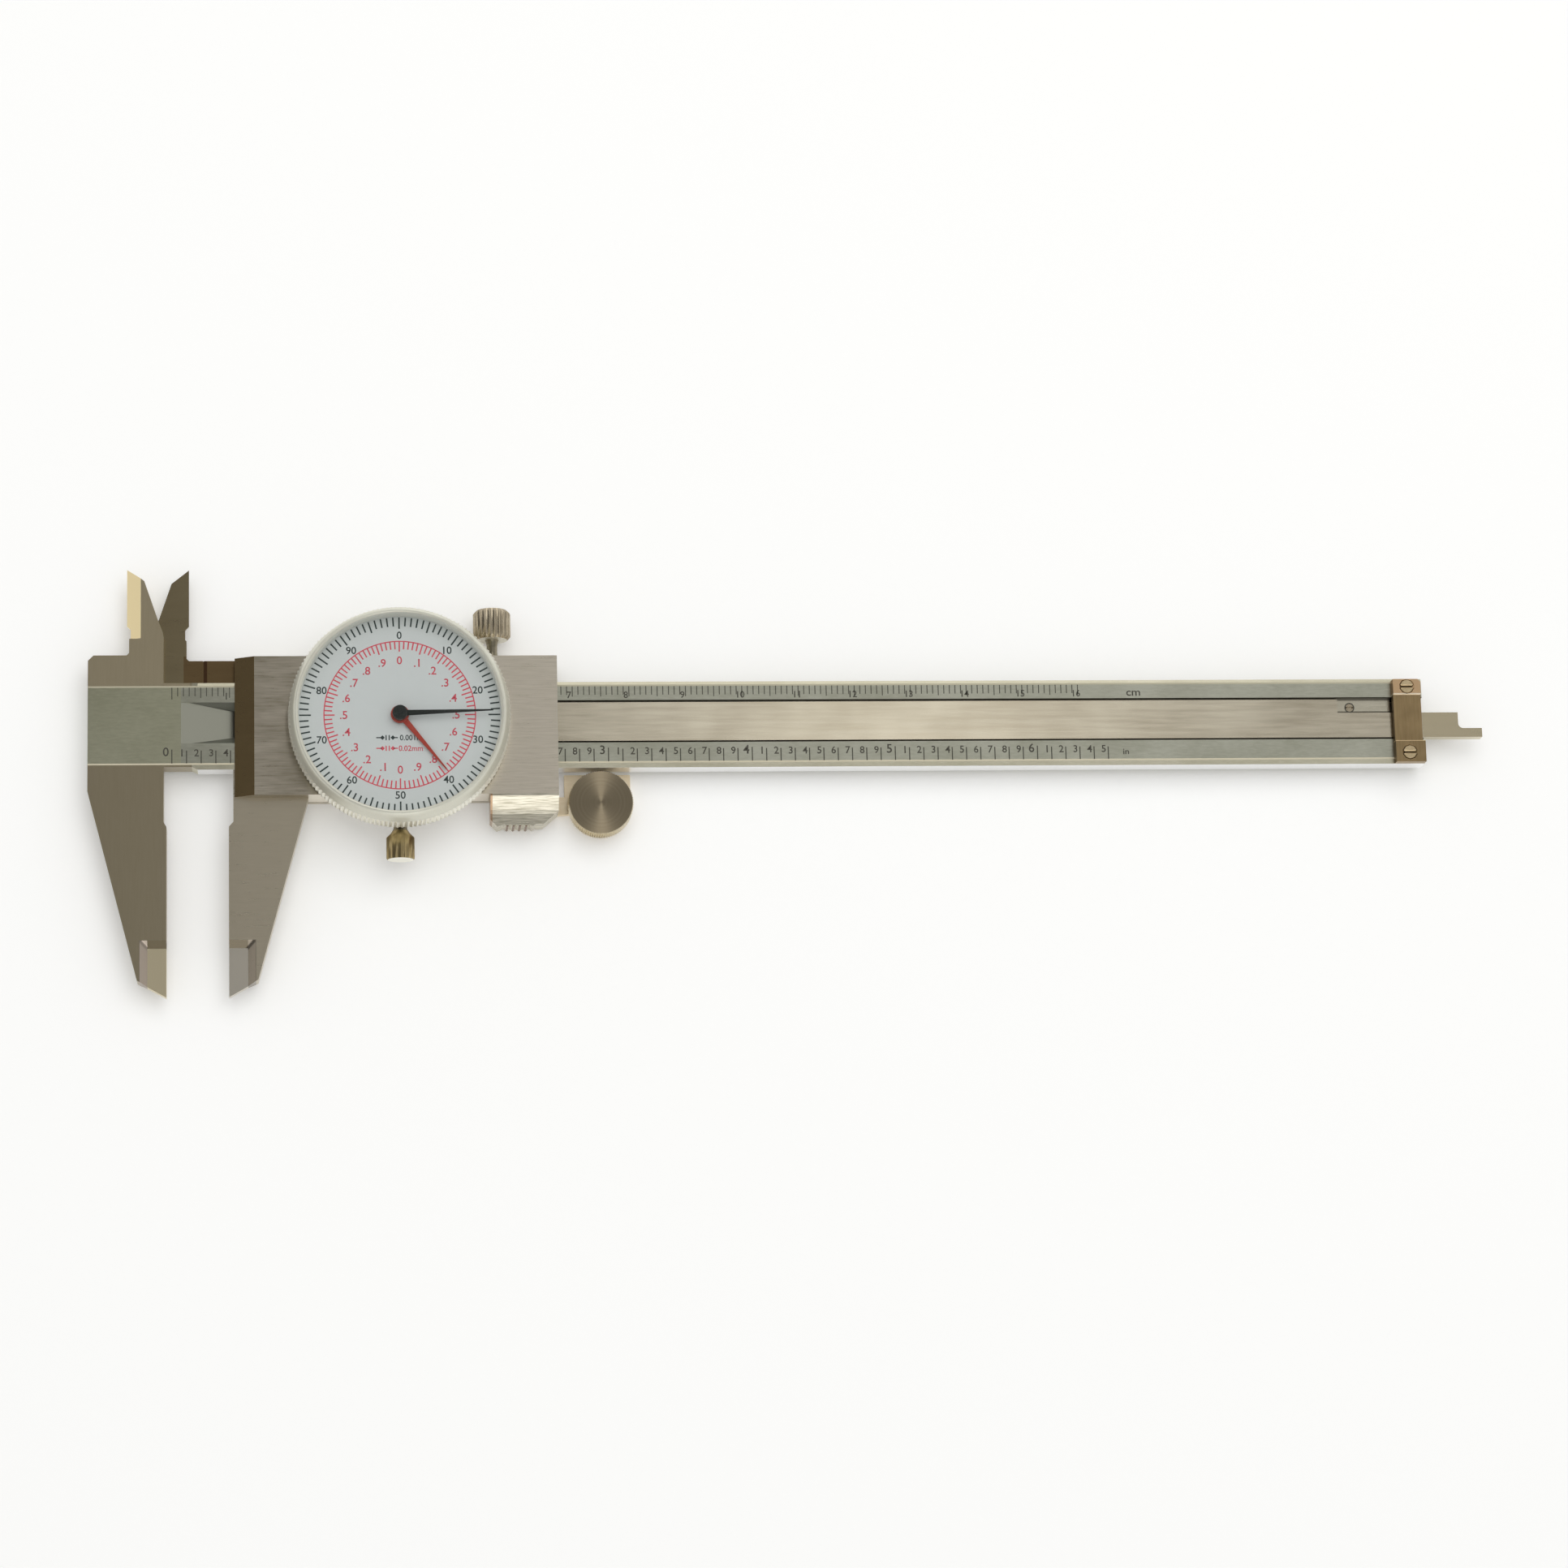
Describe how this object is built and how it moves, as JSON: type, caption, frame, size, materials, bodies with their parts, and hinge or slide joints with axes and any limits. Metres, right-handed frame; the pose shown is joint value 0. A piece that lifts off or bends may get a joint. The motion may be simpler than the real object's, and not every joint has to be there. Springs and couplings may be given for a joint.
{
  "type": "dial caliper",
  "caption": "Sliding dial caliper with outside jaws, inside jaws and a depth rod; a rack and gear train turn two hands over a double-scale dial in a rotating bezel.",
  "frame": {"origin": "middle of the measuring face of the fixed outside jaw, in the middle of the beam's thickness", "axes": "+X along the beam, from the jaws to the depth rod; +Y across the beam, towards the inside jaws; +Z out of the dial, up as the caliper lies on its back"},
  "size_m": [0.2477, 0.0764, 0.0163],
  "materials": {
    "beam_steel": "satin chrome plated stainless steel, ground edges",
    "slide_steel": "cross-brushed stainless steel",
    "rod_steel": "ground stainless steel, grain along the rod",
    "bright_steel": "bright turned steel",
    "bezel_steel": "satin chrome, knurled edge",
    "bronze_steel": "dull brown oxidised steel",
    "brass": "turned brass",
    "crystal": "clear polished crystal",
    "gasket": "pale nylon ring",
    "dial_enamel": "pale matt enamel with printed graduations",
    "hand_black": "black enamel",
    "hand_red": "red enamel"
  },
  "bodies": {
    "beam": {"beam": "beam_steel", "rack": "rod_steel", "rack_screw_left": "bright_steel", "rack_screw_right": "bright_steel", "end_stop": "bronze_steel", "end_stop_screw_upper": "bronze_steel", "end_stop_screw_lower": "bronze_steel"},
    "slide": {"slide_frame": "slide_steel", "back_cover": "slide_steel", "back_cover_screw_1": "bright_steel", "back_cover_screw_2": "bright_steel", "back_cover_screw_3": "bright_steel", "back_cover_screw_4": "bright_steel", "gib": "brass", "gib_screw_left": "bright_steel", "gib_screw_right": "bright_steel", "depth_rod": "rod_steel", "rod_pin_left": "bright_steel", "rod_pin_right": "bright_steel", "roller_bracket": "bronze_steel", "bracket_screw": "bright_steel", "roller_stud": "bright_steel", "pinion_bush": "brass", "dial_case": "beam_steel", "case_screw_1": "bright_steel", "case_screw_2": "bright_steel", "case_screw_3": "bright_steel", "movement_bridge": "brass", "bridge_screw_1": "bright_steel", "bridge_screw_2": "bright_steel", "bridge_screw_3": "bright_steel"},
    "bezel": {"bezel_ring": "bezel_steel", "crystal": "crystal", "crystal_gasket": "gasket", "dial_face": "dial_enamel", "dial_snap_ring": "bright_steel"},
    "first_arbor": {"pinion_arbor": "bright_steel", "inch_wheel": "brass", "metric_wheel": "brass"},
    "inch_pointer": {"inch_arbor": "bright_steel", "inch_hand": "hand_black"},
    "metric_pointer": {"metric_arbor": "bright_steel", "metric_hand": "hand_red"},
    "roller": {"thumb_roller": "slide_steel"},
    "slide_lock": {"slide_lock_screw": "bright_steel"},
    "bezel_lock": {"bezel_lock_screw": "bronze_steel"}
  },
  "joints": [
    {"name": "slide_travel", "type": "slide", "parent": "beam", "child": "slide", "axis": [1, 0, 0], "range_m": [-0.01078, 0.14162]},
    {"name": "bezel_turn", "type": "hinge", "parent": "slide", "child": "bezel", "pos_m": [0.0405, 0.0304, 0.0086], "axis": [0, 0, 1], "continuous": true},
    {"name": "first_arbor_turn", "type": "hinge", "parent": "slide", "child": "first_arbor", "pos_m": [0.03251, 0.02997, 0.004], "axis": [0, 0, 1], "continuous": true},
    {"name": "inch_hand_turn", "type": "hinge", "parent": "slide", "child": "inch_pointer", "pos_m": [0.0405, 0.0304, 0.0085], "axis": [0, 0, 1], "continuous": true},
    {"name": "metric_hand_turn", "type": "hinge", "parent": "slide", "child": "metric_pointer", "pos_m": [0.0405, 0.0304, 0.0085], "axis": [0, 0, 1], "continuous": true},
    {"name": "roller_turn", "type": "hinge", "parent": "slide", "child": "roller", "pos_m": [0.0757, 0.0161, 0], "axis": [0, 0, 1], "continuous": true},
    {"name": "slide_lock_turn", "type": "hinge", "parent": "slide", "child": "slide_lock", "pos_m": [0.05695, 0.0435, 0.0006], "axis": [0, 1, 0], "range_deg": [-72, 360]},
    {"name": "bezel_lock_turn", "type": "hinge", "parent": "slide", "child": "bezel_lock", "pos_m": [0.0405, 0.0125, 0.0029], "axis": [0, 1, 0], "range_deg": [-360, 72]}
  ],
  "couplings": [
    {"joint": "first_arbor_turn", "follows": "slide_travel", "rad_per_m": 494.74},
    {"joint": "inch_hand_turn", "follows": "slide_travel", "rad_per_m": -2473.7},
    {"joint": "metric_hand_turn", "follows": "slide_travel", "rad_per_m": -3141.6},
    {"joint": "roller_turn", "follows": "slide_travel", "rad_per_m": 173.91}
  ]
}
